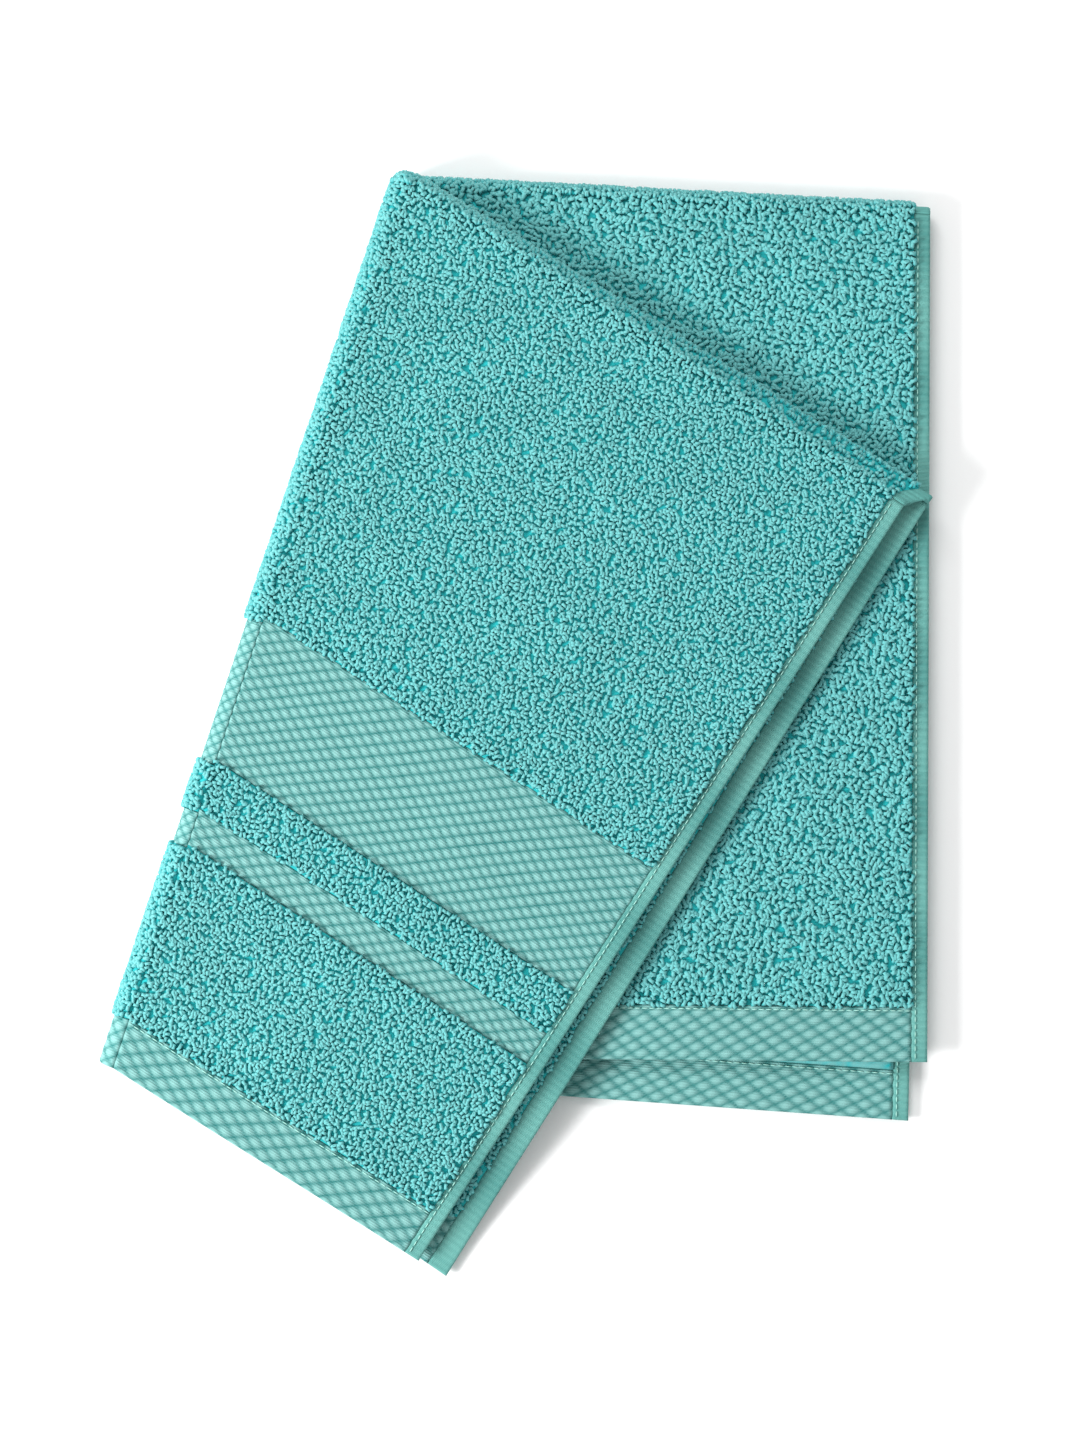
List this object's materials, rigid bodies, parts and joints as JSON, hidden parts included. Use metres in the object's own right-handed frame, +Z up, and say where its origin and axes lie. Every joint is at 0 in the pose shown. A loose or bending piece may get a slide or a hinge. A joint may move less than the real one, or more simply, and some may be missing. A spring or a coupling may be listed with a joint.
{
  "type": "towel",
  "caption": "Terry hand towel folded in four, with woven diamond bands near one end and a flap that opens over the slanted fold.",
  "frame": {"origin": "centre of the folded towel's footprint, on the surface it lies on", "axes": "+Z up; +Y from the free ends towards the crosswise fold; +X towards the free side, away from the slanted lengthwise fold"},
  "size_m": [0.3308, 0.44, 0.0243],
  "materials": {
    "pile": "matte",
    "band": "matte",
    "hem": "matte",
    "thread": "satin"
  },
  "bodies": {
    "back": {"back_under_end_hem": "hem", "back_under_border_pile": "pile", "back_under_narrow_band": "band", "back_under_pile_ridge": "pile", "back_under_wide_band": "band", "back_under_main_pile": "pile", "back_under_side_hem": "hem", "back_under_side_stitch": "thread", "back_under_end_stitch": "thread", "back_top_end_hem": "hem", "back_top_pile": "pile", "back_top_side_hem": "hem", "back_top_side_stitch": "thread", "back_top_end_stitch": "thread", "fold_end_hem": "hem", "fold_border_pile": "pile", "fold_narrow_band": "band", "fold_pile_ridge": "pile", "fold_wide_band": "band", "fold_main_pile": "pile", "inner_fold_end_hem": "hem", "inner_fold_pile": "pile", "back_cross_fold": "pile", "back_hem_turn": "hem", "back_corner": "pile"},
    "flap": {"flap_under_end_hem": "hem", "flap_under_pile": "pile", "flap_under_side_hem": "hem", "flap_under_side_stitch": "thread", "flap_under_end_stitch": "thread", "flap_top_end_hem": "hem", "flap_top_border_pile": "pile", "flap_top_narrow_band": "band", "flap_top_pile_ridge": "pile", "flap_top_wide_band": "band", "flap_top_main_pile": "pile", "flap_top_side_hem": "hem", "flap_top_side_stitch": "thread", "flap_top_end_stitch": "thread", "flap_cross_fold": "pile", "flap_hem_turn": "hem", "flap_corner": "pile"}
  },
  "joints": [
    {"name": "flap_fold", "type": "hinge", "parent": "back", "child": "flap", "pos_m": [-0.04177, 0.21377, 0.01215], "axis": [-0.3173, -0.9483, 0], "range_deg": [0, 180], "deforming": ["fold_end_hem", "fold_border_pile", "fold_narrow_band", "fold_pile_ridge", "fold_wide_band", "fold_main_pile", "inner_fold_end_hem", "inner_fold_pile", "back_corner", "flap_corner"]}
  ]
}
